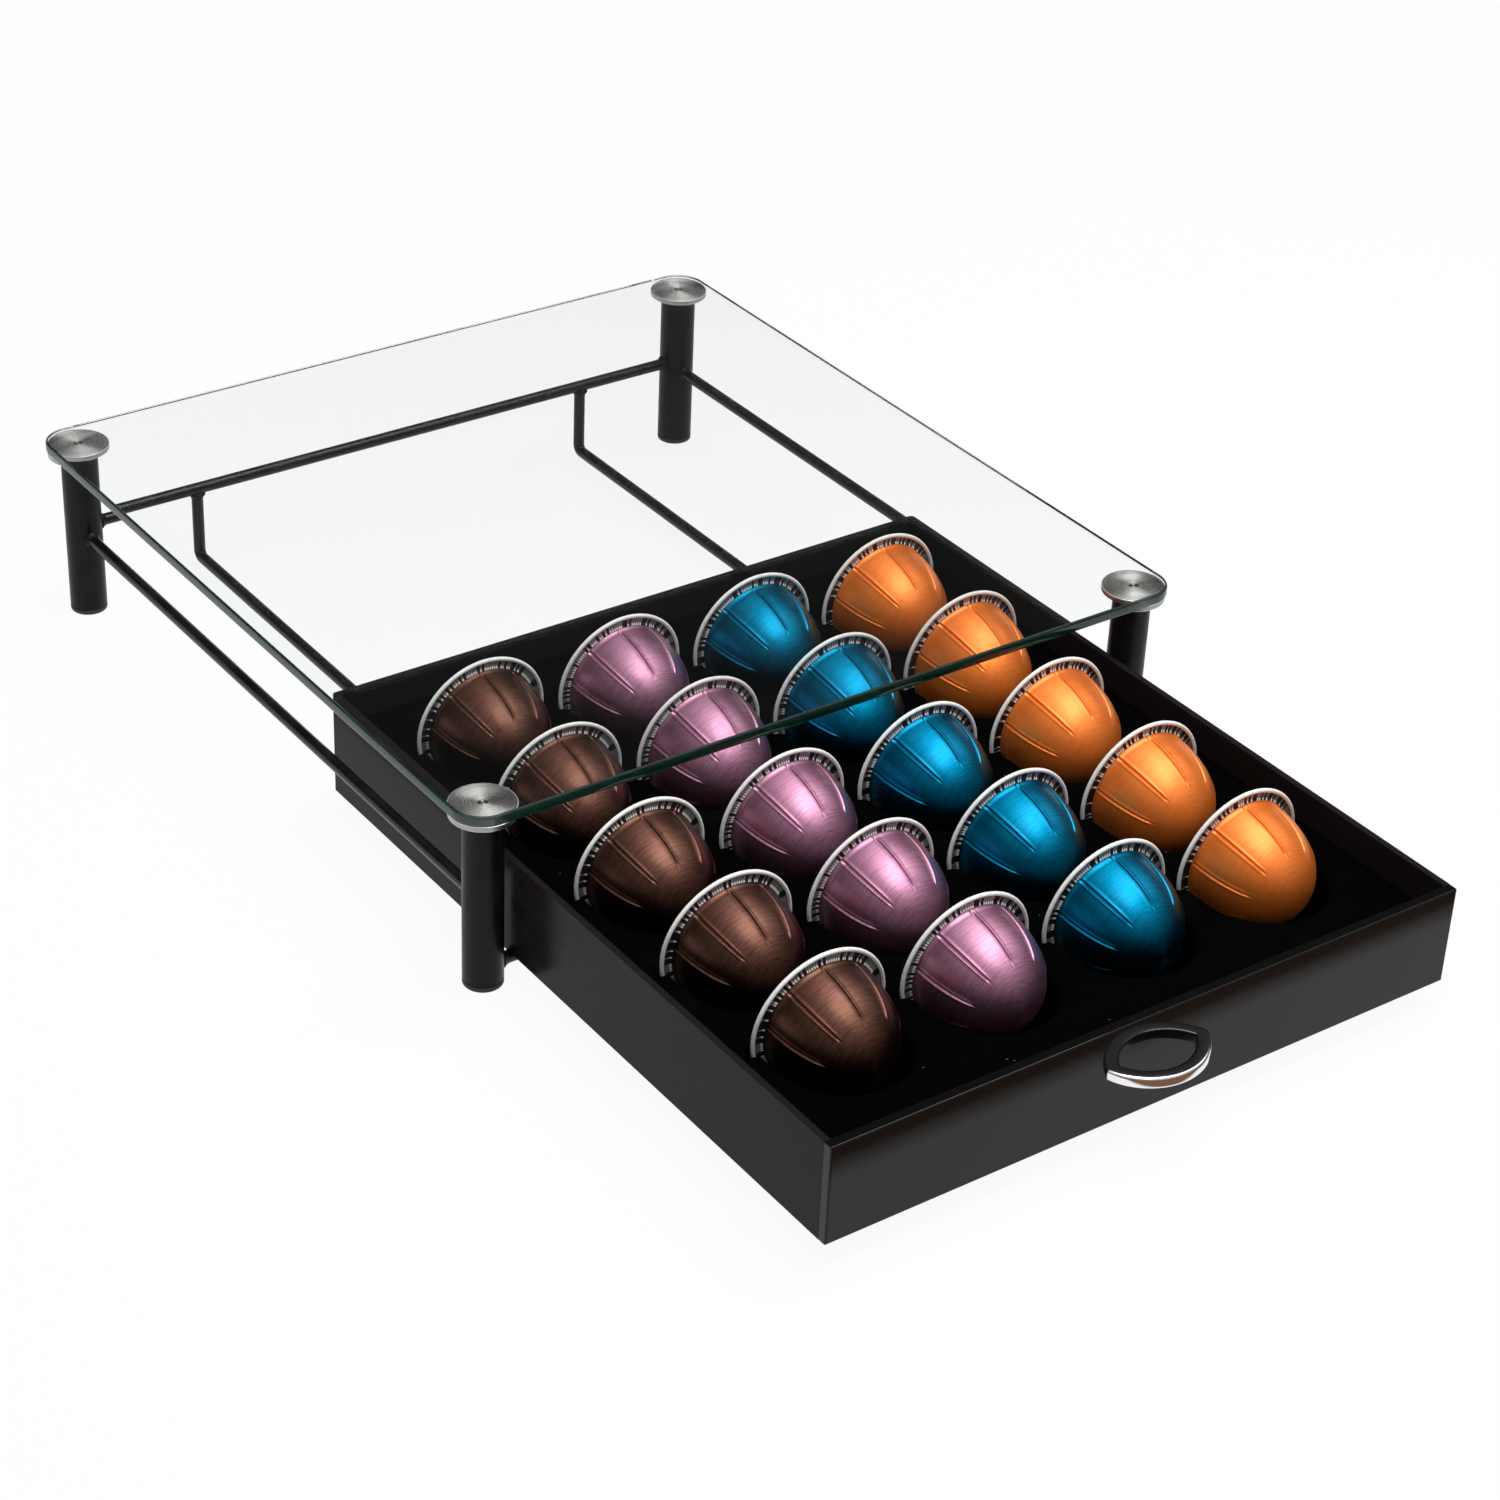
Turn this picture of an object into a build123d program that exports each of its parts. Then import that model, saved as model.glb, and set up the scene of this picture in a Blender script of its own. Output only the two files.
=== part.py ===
"""Coffee pod drawer: a glass-topped wire stand with a pull-out drawer of capsules.

Frame: +Z up, z = 0 on the floor, -Y is the way the drawer opens, +X to the right
of someone facing it.  The origin is the middle of the whole footprint, with the
drawer standing part-open.  All sizes are in millimetres.

The sizes grow outward from the pod: pods set the insert, the insert sets the
drawer, the drawer sets the legs and wires, and the legs set the glass.
"""

import os
from math import cos, pi, radians, sin, sqrt

from build123d import *

os.makedirs("parts", exist_ok=True)

# ------------------------------------------------------------------ pods
COLUMN_NAMES = ("brown", "mauve", "blue", "orange")
ROWS = 5
POD_RIM_R = 31.0
POD_RIM_T = 2.0
POD_DOME_R = 25.5
POD_DOME_LENGTH = 36.0
POD_DOME_FULLNESS = 2.2       # exponent of the dome's profile, 2 being an ellipse
POD_DOME_BANDS = 4            # conical bands that make up the dome
POD_TILT = 4.5                # degrees that the nose hangs below level

# ------------------------------------------------------------------ insert
SHEET_T = 1.5
SHEET_LIFT = 0.5              # drawer floor to the lowest formed part
SEAT_GAP = 0.3                # under a rim
SLOT_GAP = 0.4                # around a rim in its slot
SLOT_LAND = 7.0               # between the slots of neighbouring columns
BOWL_GAP = 2.0                # around a dome
BOWL_LENGTH = 43.0            # rim to the far end of a bowl
ROW_LAND = 17.7               # end of a bowl to the next rim
INSERT_GAP = 0.4              # insert to drawer walls

# ------------------------------------------------------------------ drawer
SIDE_MARGIN = 46.3            # outer pod axis to side wall
BACK_MARGIN = 37.0            # back row of rims to back wall
FRONT_MARGIN = 70.5           # front row of rims to front panel
WALL_T = 3.0
FLOOR_T = 3.0
DRAWER_HEIGHT = 44.5
DECK_DROP = 13.5              # deck below the top of the walls
TRAY_CORNER_R = 2.0
PANEL_T = 4.5
PANEL_EDGE = 0.5              # chamfer around the panel's face
DRAWER_OPEN = 203.5           # how far the drawer stands open at rest

# ------------------------------------------------------------------ handle
BOW_SPAN = 50.0
BOW_REACH = 17.0
BOW_BAND = 6.0                # across the band, in plan
BOW_HEIGHT = 5.0
BOW_EDGE = 0.8                # chamfer along the outer edges
BOW_ABOVE_MIDDLE = 2.0        # above the middle of the panel

# ------------------------------------------------------------------ stand
LEG_R = 8.5
LEG_WALL = 1.2
LEG_GAP = 3.0                 # drawer side to leg
STOP_GAP = 5.5                # shut drawer to the start of the runners' bends
WIRE_R = 2.75
WELD_GAP = 0.05
RUNNER_INSET = 47.0           # runner to the drawer's side
RUNNER_BEND_R = 3.5
WIRE_FLOOR_GAP = 5.25         # floor to the lowest wires
SLIDE_GAP = 0.3               # runners to drawer floor
SIDE_RAIL_Z = 39.5
BACK_RAIL_Z = 43.7
FOOT_LIP = 3.0
FOOT_STEM = 12.0
FOOT_EDGE = 0.6
PLUG_GAP = 0.1                # plug inside the leg tube

# ------------------------------------------------------------------ top
LEG_INSET = 14.5              # leg axis to the edge of the glass
GLASS_T = 5.0
GLASS_CORNER_R = 14.0
GLASS_EDGE = 0.7              # ground edge
POD_HEADROOM = 4.6            # pod rims to glass
DISC_R = 14.0
DISC_T = 2.5
DISC_EDGE = 0.5

# ------------------------------------------------------------------ worked-out sizes
columns = len(COLUMN_NAMES)
slot_w = 2 * (POD_RIM_R + SLOT_GAP)
column_pitch = slot_w + SLOT_LAND
row_pitch = BOWL_LENGTH + ROW_LAND

inner_w = (columns - 1) * column_pitch + 2 * SIDE_MARGIN
inner_l = (ROWS - 1) * row_pitch + BACK_MARGIN + FRONT_MARGIN
drawer_w = inner_w + 2 * WALL_T
drawer_l = inner_l + WALL_T + PANEL_T

leg_x = drawer_w / 2 + LEG_GAP + LEG_R
runner_x = drawer_w / 2 - RUNNER_INSET
leg_y = (drawer_l - PANEL_T - LEG_R + RUNNER_BEND_R + STOP_GAP) / 2
glass_w = 2 * (leg_x + LEG_INSET)
glass_l = 2 * (leg_y + LEG_INSET)

# shut, the back of the panel is flush with the front of the legs
front_overhang = leg_y + LEG_R + PANEL_T + DRAWER_OPEN + BOW_REACH
stand_y = (front_overhang - glass_l / 2) / 2
front_leg_y = stand_y - leg_y
back_leg_y = stand_y + leg_y
panel_front = front_leg_y - LEG_R - PANEL_T - DRAWER_OPEN
panel_back = panel_front + PANEL_T
tray_back = panel_front + drawer_l

runner_z = WIRE_FLOOR_GAP + WIRE_R
drawer_bottom = runner_z + WIRE_R + SLIDE_GAP
floor_top = drawer_bottom + FLOOR_T
drawer_top = drawer_bottom + DRAWER_HEIGHT
deck_top = drawer_top - DECK_DROP

# a pod stands on the low front edge of its rim, leaning in its slot
lean = radians(POD_TILT)
pod_axis = (0, -cos(lean), -sin(lean))
rim_drop = POD_RIM_R * cos(lean) + POD_RIM_T / 2 * sin(lean)
rim_kick = POD_RIM_R * sin(lean) + POD_RIM_T / 2 * cos(lean)
bowl_r = POD_DOME_R + BOWL_GAP
bowl_drop = bowl_r + POD_DOME_LENGTH / 2 * sin(lean)
pod_z = floor_top + SHEET_LIFT + SHEET_T + max(rim_drop + SEAT_GAP, bowl_drop)
slot_bottom = pod_z - rim_drop - SEAT_GAP
bowl_bottom = pod_z - bowl_drop
slot_back = rim_kick + SLOT_GAP
slot_front = POD_RIM_T / 2 - (pod_z - deck_top) * sin(lean) / cos(lean) + SLOT_GAP

pod_top = pod_z + rim_drop
glass_under = pod_top + POD_HEADROOM
disc_under = glass_under - DISC_T
tube_r = LEG_R - LEG_WALL

LEGS = {
    "front_left": (-leg_x, front_leg_y),
    "front_right": (leg_x, front_leg_y),
    "back_left": (-leg_x, back_leg_y),
    "back_right": (leg_x, back_leg_y),
}


def column_x(column):
    """X of a column of pods, counted from the left."""
    return (column - (columns - 1) / 2) * column_pitch


def row_y(row):
    """Y of a row of rims, counted from the back."""
    return tray_back - WALL_T - BACK_MARGIN - row * row_pitch


def save(piece, name):
    """Label a finished piece and write it under its node's name."""
    piece.part.label = name
    export_step(piece.part, f"parts/{name}.step")


# ================================================================== glass and legs
with BuildPart() as glass_top:
    with BuildSketch(Plane.XY.offset(glass_under)):
        with Locations((0, stand_y)):
            RectangleRounded(glass_w, glass_l, GLASS_CORNER_R)
    extrude(amount=GLASS_T)
    chamfer(glass_top.faces().sort_by(Axis.Z)[-1].edges(), GLASS_EDGE)
    chamfer(glass_top.faces().sort_by(Axis.Z)[0].edges(), GLASS_EDGE)
save(glass_top, "glass_top")


def make_disc(name, spot):
    """Turned disc at the top of a leg, bonded to the glass."""
    with BuildPart() as disc:
        with BuildSketch(Plane.XY.offset(disc_under)):
            with Locations(spot):
                Circle(DISC_R)
        extrude(amount=DISC_T)
        chamfer(disc.faces().sort_by(Axis.Z)[0].edges(), DISC_EDGE)
    save(disc, f"disc_{name}")


def make_leg(name, spot):
    """Leg tube, from its foot to its disc."""
    with BuildPart() as leg:
        with BuildSketch(Plane.XY.offset(FOOT_LIP)):
            with Locations(spot):
                Circle(LEG_R)
                Circle(tube_r, mode=Mode.SUBTRACT)
        extrude(amount=disc_under - FOOT_LIP)
    save(leg, f"leg_{name}")


def make_foot(name, spot):
    """Plastic plug in the foot of a leg, with a lip as wide as the tube."""
    with BuildPart() as foot:
        with BuildSketch():
            with Locations(spot):
                Circle(LEG_R)
        extrude(amount=FOOT_LIP)
        chamfer(foot.faces().sort_by(Axis.Z)[0].edges(), FOOT_EDGE)
        with BuildSketch(Plane.XY.offset(FOOT_LIP)):
            with Locations(spot):
                Circle(tube_r - PLUG_GAP)
        extrude(amount=FOOT_STEM)
    save(foot, f"foot_{name}")


for leg_name, leg_spot in LEGS.items():
    make_disc(leg_name, leg_spot)
    make_leg(leg_name, leg_spot)
    make_foot(leg_name, leg_spot)


# ================================================================== wires
def make_rail(name, start, end):
    """Straight wire between the axes of two legs, its ends coped to the legs."""
    with BuildPart() as rail:
        with BuildSketch(Plane(origin=start, z_dir=Vector(*end) - Vector(*start))):
            Circle(WIRE_R)
        extrude(amount=(Vector(*end) - Vector(*start)).length)
        with BuildSketch():
            with Locations(start[:2], end[:2]):
                Circle(LEG_R + WELD_GAP)
        extrude(amount=disc_under, mode=Mode.SUBTRACT)
    save(rail, name)


def rail_end(leg, height):
    """The point of a leg's axis at a height."""
    return (*LEGS[leg], height)


make_rail("back_rail", rail_end("back_left", BACK_RAIL_Z), rail_end("back_right", BACK_RAIL_Z))
make_rail("left_rail", rail_end("front_left", SIDE_RAIL_Z), rail_end("back_left", SIDE_RAIL_Z))
make_rail("right_rail", rail_end("front_right", SIDE_RAIL_Z), rail_end("back_right", SIDE_RAIL_Z))
make_rail("front_crossbar", rail_end("front_left", runner_z), rail_end("front_right", runner_z))


def make_runner(name, x):
    """Wire hung from the back rail, bent forward under the drawer to the crossbar."""
    back_top = (x, back_leg_y, BACK_RAIL_Z)
    back_corner = (x, back_leg_y, runner_z)
    front_end = (x, front_leg_y, runner_z)
    with BuildPart() as runner:
        with BuildLine():
            FilletPolyline(back_top, back_corner, front_end, radius=RUNNER_BEND_R)
        with BuildSketch(Plane(origin=back_top, z_dir=(0, 0, -1))):
            Circle(WIRE_R)
        sweep()
        for wire_y, wire_z in ((back_leg_y, BACK_RAIL_Z), (front_leg_y, runner_z)):
            with BuildSketch(Plane(origin=(x, wire_y, wire_z), z_dir=(1, 0, 0))):
                Circle(WIRE_R + WELD_GAP)
            extrude(amount=2 * WIRE_R, both=True, mode=Mode.SUBTRACT)
    save(runner, name)


make_runner("runner_left", -runner_x)
make_runner("runner_right", runner_x)

# ================================================================== drawer
with BuildPart() as drawer_tray:
    with BuildSketch(Plane.XY.offset(drawer_bottom)):
        with Locations((0, panel_back)):
            Rectangle(drawer_w, tray_back - panel_back, align=(Align.CENTER, Align.MIN))
    extrude(amount=DRAWER_HEIGHT)
    fillet(drawer_tray.edges().filter_by(Axis.Z).group_by(Axis.Y)[-1], TRAY_CORNER_R)
    with BuildSketch(Plane.XY.offset(floor_top)):
        with Locations((0, panel_back)):
            Rectangle(inner_w, inner_l, align=(Align.CENTER, Align.MIN))
    extrude(amount=DRAWER_HEIGHT, mode=Mode.SUBTRACT)
save(drawer_tray, "drawer_tray")

with BuildPart() as front_panel:
    with BuildSketch(Plane.XZ.offset(-panel_back)):
        with Locations((0, (drawer_bottom + drawer_top) / 2)):
            Rectangle(drawer_w, DRAWER_HEIGHT)
    extrude(amount=PANEL_T)
    chamfer(front_panel.faces().sort_by(Axis.Y)[0].edges(), PANEL_EDGE)
save(front_panel, "front_panel")

# The bow is a crescent: two arcs about one centre behind the panel's face.
bow_z = (drawer_bottom + drawer_top) / 2 + BOW_ABOVE_MIDDLE
bow_outer_r = ((BOW_SPAN / 2) ** 2 + BOW_REACH**2) / (2 * BOW_REACH)
bow_inner_r = bow_outer_r - BOW_BAND
bow_centre_y = panel_front - BOW_REACH + bow_outer_r
bow_inner_half = sqrt(bow_inner_r**2 - (bow_centre_y - panel_front) ** 2)

with BuildPart() as handle_bow:
    with BuildSketch(Plane.XY.offset(bow_z - BOW_HEIGHT / 2)):
        with BuildLine():
            outer_arc = ThreePointArc(
                (-BOW_SPAN / 2, panel_front),
                (0, panel_front - BOW_REACH),
                (BOW_SPAN / 2, panel_front),
            )
            Line(outer_arc @ 1, (bow_inner_half, panel_front))
            inner_arc = ThreePointArc(
                (bow_inner_half, panel_front),
                (0, bow_centre_y - bow_inner_r),
                (-bow_inner_half, panel_front),
            )
            Line(inner_arc @ 1, outer_arc @ 0)
        make_face()
    extrude(amount=BOW_HEIGHT)
    outer_face = handle_bow.faces().filter_by(GeomType.CYLINDER).sort_by(Axis.Y)[0]
    chamfer(outer_face.edges().filter_by(GeomType.CIRCLE), BOW_EDGE)
save(handle_bow, "handle_bow")

# ================================================================== insert
insert_w = inner_w - 2 * INSERT_GAP
insert_l = inner_l - 2 * INSERT_GAP
insert_middle = (0, panel_back + inner_l / 2)
pockets = [(column_x(column), row_y(row)) for row in range(ROWS) for column in range(columns)]


with BuildPart() as pod_insert:
    with BuildSketch(Plane.XY.offset(deck_top)):
        with Locations(insert_middle):
            Rectangle(insert_w, insert_l)
    extrude(amount=floor_top - deck_top)
    with BuildSketch(Plane.XY.offset(deck_top - SHEET_T)):
        with Locations(insert_middle):
            Rectangle(insert_w - 2 * SHEET_T, insert_l - 2 * SHEET_T)
    extrude(amount=floor_top - deck_top, mode=Mode.SUBTRACT)
    # the pockets' outsides are added below the deck, then their insides are taken out
    for spread, mode in ((SHEET_T, Mode.ADD), (0, Mode.SUBTRACT)):
        with BuildSketch(Plane.XY.offset(deck_top)):
            for x, y in pockets:
                with Locations((x, y + (slot_back - slot_front) / 2)):
                    Rectangle(slot_w + 2 * spread, slot_front + slot_back + 2 * spread)
        extrude(amount=slot_bottom - deck_top - spread, mode=mode)
        with BuildSketch(Plane.XY.offset(deck_top)):
            for x, y in pockets:
                with Locations((x, y - BOWL_LENGTH + bowl_r)):
                    Circle(bowl_r + spread)
                with Locations((x, y - (BOWL_LENGTH - bowl_r) / 2)):
                    Rectangle(2 * (bowl_r + spread), BOWL_LENGTH - bowl_r)
        extrude(amount=bowl_bottom - deck_top - spread, mode=mode)
save(pod_insert, "pod_insert")

# ================================================================== pods
dome_start = POD_RIM_T / 2
dome_power = 2 / POD_DOME_FULLNESS


def dome_point(band):
    """Where a band of the dome ends: distance along the axis, and radius."""
    angle = pi / 2 * band / POD_DOME_BANDS
    along = POD_DOME_LENGTH * sin(angle) ** dome_power
    out = POD_DOME_R * abs(cos(angle)) ** dome_power
    return (dome_start + along, out)


def make_pods(name, x):
    """A column of closed capsules, each a rim and a dome turned about its own axis."""
    with BuildPart() as pods:
        for row in range(ROWS):
            place = Plane(origin=(x, row_y(row), pod_z), x_dir=pod_axis, z_dir=(1, 0, 0))
            with BuildSketch(place):
                with BuildLine():
                    Polyline(
                        (-POD_RIM_T / 2, 0),
                        (-POD_RIM_T / 2, POD_RIM_R),
                        (dome_start, POD_RIM_R),
                        *[dome_point(band) for band in range(POD_DOME_BANDS)],
                        (dome_start + POD_DOME_LENGTH, 0),
                        close=True,
                    )
                make_face()
            revolve(axis=Axis(place.origin, place.x_dir))
    save(pods, name)


for column, column_name in enumerate(COLUMN_NAMES):
    make_pods(f"pods_{column_name}", column_x(column))
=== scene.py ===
"""Looks of the coffee pod drawer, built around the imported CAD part.

Frame: metres, +Z up, z = 0 on the floor, -Y the way the drawer opens.  Sizes are
written in millimetres and turned to metres by MM where a piece is made.
"""

import random
from math import cos, hypot, pi, radians, sin

import bmesh
import bpy
from mathutils import Matrix, Vector


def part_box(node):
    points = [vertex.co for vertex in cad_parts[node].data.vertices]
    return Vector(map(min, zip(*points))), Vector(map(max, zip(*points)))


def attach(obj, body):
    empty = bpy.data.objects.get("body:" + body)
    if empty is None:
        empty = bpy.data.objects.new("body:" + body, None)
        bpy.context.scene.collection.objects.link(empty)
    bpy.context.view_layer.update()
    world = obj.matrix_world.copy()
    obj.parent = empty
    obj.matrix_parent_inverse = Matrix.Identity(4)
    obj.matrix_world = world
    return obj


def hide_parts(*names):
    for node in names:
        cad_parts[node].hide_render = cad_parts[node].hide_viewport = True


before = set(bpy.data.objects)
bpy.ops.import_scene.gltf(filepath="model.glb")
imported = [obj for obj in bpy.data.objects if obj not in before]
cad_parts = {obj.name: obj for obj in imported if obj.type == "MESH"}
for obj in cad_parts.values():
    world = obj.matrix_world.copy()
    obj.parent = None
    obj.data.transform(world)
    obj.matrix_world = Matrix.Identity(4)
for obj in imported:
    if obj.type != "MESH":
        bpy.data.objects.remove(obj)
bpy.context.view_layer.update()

MM = 0.001

# ------------------------------------------------------------------ pods
POD_COLOURS = {
    # column, from the left: tone of the metal, tone between its streaks, metallic share
    "brown": ((0.175, 0.084, 0.063), (0.06, 0.019, 0.009), 1.0),
    "mauve": ((0.54, 0.29, 0.41), (0.31, 0.1, 0.18), 0.9),
    "blue": ((0.0, 0.235, 0.4), (0.0, 0.095, 0.2), 1.0),
    "orange": ((0.95, 0.27, 0.05), (0.85, 0.15, 0.008), 0.55),
}
COLUMNS = len(POD_COLOURS)
ROWS = 5
COLUMN_PITCH = 69.8
ROW_PITCH = 60.7
BACK_ROW_Y = 33.9
POD_Z = 47.333
POD_TILT = 4.5                # degrees that the nose hangs below level
BEAD_R = 30.1                 # rolled rim: centre line and half thickness
BEAD_HALF = 0.9
FLANGE_S = 0.3                # how far the flange's front is ahead of the rim's middle
DOME_R = 25.5
DOME_START = 1.0
DOME_LENGTH = 36.0
DOME_FULLNESS = 2.2
GROOVES = 10
GROOVE_DEPTH = 0.75
GROOVE_HALF = 2.0             # degrees
GROOVE_FROM, GROOVE_TO = 1.5, 28.0
GROOVE_OFFSETS = (-18, -14, -9.5, -5.5, -3.2, -2.5, -1.8, -1.15, -0.55,
                  0, 0.55, 1.15, 1.8, 2.5, 3.2, 5.5, 9.5, 14)   # degrees from a groove
POD_SPIN, POD_SPIN_SPREAD = 22.0, 3.0   # degrees a pod is turned in its slot
POD_SEED = 5
PATH_UNIT = 100               # millimetres along the profile to one unit of V
FLANGE_BARS = 150             # cells of dark and bright bars round the flange
FLANGE_DARK_FROM = 0.62       # a cell whose random number is over this is dark
FLANGE_GAP_FROM = 0.7         # share of each cell after which a dark gap starts
FLANGE_TICKS_FROM = 0.66      # share of the flange's width where the bright ticks start

# ------------------------------------------------------------------ insert
DECK_Z = 42.05
POCKET_BOTTOM_Z = 16.3
POCKET_LIP_R = 2.5
SLOT_HALF = 31.4
SLOT_BACK, SLOT_FRONT = 3.83, 0.98
SLOT_CORNER_R = 0.9
STEP_CORNER_R = 2.9           # where the slot's front meets the bowl
BOWL_HALF = 27.5
BOWL_LENGTH = 43.0
BOWL_TIP_FLAT = 0.05          # half of the flat between the two arcs of a bowl's tip
INSERT_SKIRT = 8.0            # how far the sheet's edge turns down
INSERT_CORNER_R = 3

# ------------------------------------------------------------------ handle
BOW_Z = 35.3
BOW_CENTRE_Y = -274.02
BOW_OUTER_R, BOW_INNER_R = 26.88, 20.88
BOW_HEIGHT = 5.0
BOW_ROUND = 1.3
BOW_HALF_TURN = 70.0          # degrees, to just inside the panel

# ------------------------------------------------------------------ drawer
BEVELS = {"drawer_tray": 0.4, "front_panel": 0.22}

# ------------------------------------------------------------------ stand
GLASS_CORNER_R = 14.0
GLASS_EDGE_ROUND = 1.1
# The edge's deep green is the glass's own tint together with painted shade, standing in for the
# darkness of the long path through the sheet.
EDGE_GREEN_OUTSIDE, EDGE_GREEN_INSIDE = 0.9, 0.12   # share of deep green in the edge
LEG_X = 165.5
FRONT_LEG_Y, BACK_LEG_Y = -67.4, 286.4
LEG_R = 8.5
FOOT_HEIGHT = 3.0
FOOT_UNDER_R = 1.0            # rounding below
FOOT_LIP_R = 0.35             # rounding above
FOOT_GAP_DEPTH = 0.6          # of the fine gap between the lip and the tube
WIRE_R = 2.75
RUNNER_X = 107.0
RUNNER_Z = 8.0
SIDE_RAIL_Z, BACK_RAIL_Z = 39.5, 43.7
DISC_R = 14.0
DISC_LOW_Z, DISC_HIGH_Z = 80.416, 82.916
DISC_UNDER_R = 0.5            # rounding below
DISC_BREAK_R = 0.35           # rounding of the broken edge above
WELD_LUMP = 0.12              # unevenness of a weld bead
WELD_SEED = 11
LEGS = {
    "front_left": (-LEG_X, FRONT_LEG_Y),
    "front_right": (LEG_X, FRONT_LEG_Y),
    "back_left": (-LEG_X, BACK_LEG_Y),
    "back_right": (LEG_X, BACK_LEG_Y),
}

# ------------------------------------------------------------------ camera and light
CAMERA_AT = (-766.8, -1054.4, 833.1)
CAMERA_LOOKS = (0.5041, 0.6825, -0.5292)
CAMERA_ROLL = 2.64            # degrees
CAMERA_LENS = 84.81           # millimetres on a 36 mm sensor
FLOOR_WHITE = 0.94            # share of the floor that shows as the white backdrop
SHEET_FRONT_Y = -0.328        # metres: glossy rays see a darker table ahead of this line
TABLE_TONE = (0.2, 0.105, 0.06)
GLASS_GAIN = 1.14             # evens out what the glass top takes from the white behind it
BACKDROP_TOP = 0.22           # sine of the height that the white backdrop reaches
SKY_STRENGTH = 1.2
# Brightness of the studio's air by the sine of the height above the horizon.
SKY_FRONT = ((0.0, 0.06), (0.26, 0.16), (0.5, 0.34), (0.71, 0.59), (0.87, 0.81), (1.0, 1.0))
SKY_BACK = ((0.0, 0.03), (0.66, 0.02), (0.8, 0.2), (0.9, 0.7), (1.0, 1.0))
LAMPS = {
    # name: place, target, width and depth in metres, watts
    "overhead_box": ((0.18, -0.3, 1.45), (0.1, -0.12, 0.0), 1.3, 0.7, 16.5),
    "right_box": ((1.2, -0.1, 1.3), (0.0, -0.1, 0.0), 0.7, 0.7, 1.9),
}


# ================================================================== node helpers
def new_material(name, colour, roughness, metallic=0.0):
    """A Principled material with plain starting values: (material, tree, shader)."""
    material = bpy.data.materials.new(name)
    material.use_nodes = True
    tree = material.node_tree
    shader = tree.nodes["Principled BSDF"]
    shader.inputs["Base Color"].default_value = (*colour, 1)
    shader.inputs["Roughness"].default_value = roughness
    shader.inputs["Metallic"].default_value = metallic
    return material, tree, shader


def add(tree, kind, inputs=None, **settings):
    """Add a node, with its settings, and its inputs given as values or sockets."""
    node = tree.nodes.new("ShaderNode" + kind)
    for key, value in settings.items():
        setattr(node, key, value)
    for key, value in (inputs or {}).items():
        if isinstance(value, bpy.types.NodeSocket):
            tree.links.new(value, node.inputs[key])
        else:
            node.inputs[key].default_value = value
    return node


def place(tree, stretch=(1, 1, 1)):
    """A piece's own coordinates, stretched along the axes."""
    coordinates = add(tree, "TexCoord").outputs["Object"]
    return add(tree, "Mapping", {"Vector": coordinates, "Scale": stretch}).outputs[0]


def noise(tree, vector, scale, detail, rough=0.5, distortion=0.0):
    """Smooth noise from 0 to 1."""
    values = {
        "Vector": vector,
        "Scale": scale,
        "Detail": detail,
        "Roughness": rough,
        "Distortion": distortion,
    }
    return add(tree, "TexNoise", values).outputs[0]


def spread(tree, value, low, high, to_low=0.0, to_high=1.0):
    """The part of value between low and high, spread from to_low to to_high."""
    limits = {"From Min": low, "From Max": high, "To Min": to_low, "To Max": to_high}
    return add(tree, "MapRange", {"Value": value, **limits}).outputs[0]


def mix(tree, factor, first, second):
    """A colour between two, by factor."""
    node = add(tree, "Mix", data_type="RGBA")
    for socket, value in ((0, factor), (6, first), (7, second)):
        if isinstance(value, bpy.types.NodeSocket):
            tree.links.new(value, node.inputs[socket])
        elif socket == 0:
            node.inputs[socket].default_value = value
        else:
            node.inputs[socket].default_value = (*value, 1)
    return node.outputs[2]


def sums(tree, operation, first, second=0.0):
    """A Math node's output."""
    return add(tree, "Math", {0: first, 1: second}, operation=operation).outputs[0]


def bump(tree, shader, height, distance_mm, strength):
    """Raise the surface by height, at most distance_mm."""
    values = {"Height": height, "Distance": distance_mm * MM, "Strength": strength}
    tree.links.new(add(tree, "Bump", values).outputs[0], shader.inputs["Normal"])


# ================================================================== materials
def let_light_pass(tree, shader, tint):
    """Let some light go straight through a glass shader, with a tint.

    That is the lamps' light, scattered light, and mirror rays from metal or lacquer
    that reach the glass from outside, so that none of it is bent or lost.
    """
    path = add(tree, "LightPath").outputs
    outside = sums(tree, "SUBTRACT", 1.0, add(tree, "NewGeometry").outputs["Backfacing"])
    entered = sums(tree, "GREATER_THAN", path["Transparent Depth"], 0.5)
    mirrored = sums(tree, "MULTIPLY", path["Is Glossy Ray"],
                    sums(tree, "MAXIMUM", outside, entered))
    scattered = sums(tree, "MAXIMUM", path["Is Shadow Ray"], path["Is Diffuse Ray"])
    passes = sums(tree, "MAXIMUM", scattered, mirrored)
    clear = add(tree, "BsdfTransparent", {"Color": (*tint, 1)}).outputs[0]
    both = add(tree, "MixShader", {0: passes, 1: shader})
    tree.links.new(clear, both.inputs[2])
    tree.links.new(both.outputs[0], tree.nodes["Material Output"].inputs["Surface"])


def glass_material():
    """Clear float glass, with the faintest smears."""
    material, tree, shader = new_material("clear_glass", (0.985, 1.0, 0.995), 0.0)
    shader.inputs["Transmission Weight"].default_value = 1.0
    shader.inputs["IOR"].default_value = 1.5
    smear = noise(tree, place(tree), 9.0, 4.0)
    roughness = spread(tree, smear, 0.45, 0.8, 0.0, 0.02)
    tree.links.new(roughness, shader.inputs["Roughness"])
    let_light_pass(tree, shader.outputs[0], (0.975, 0.985, 0.98))
    return material


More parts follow.
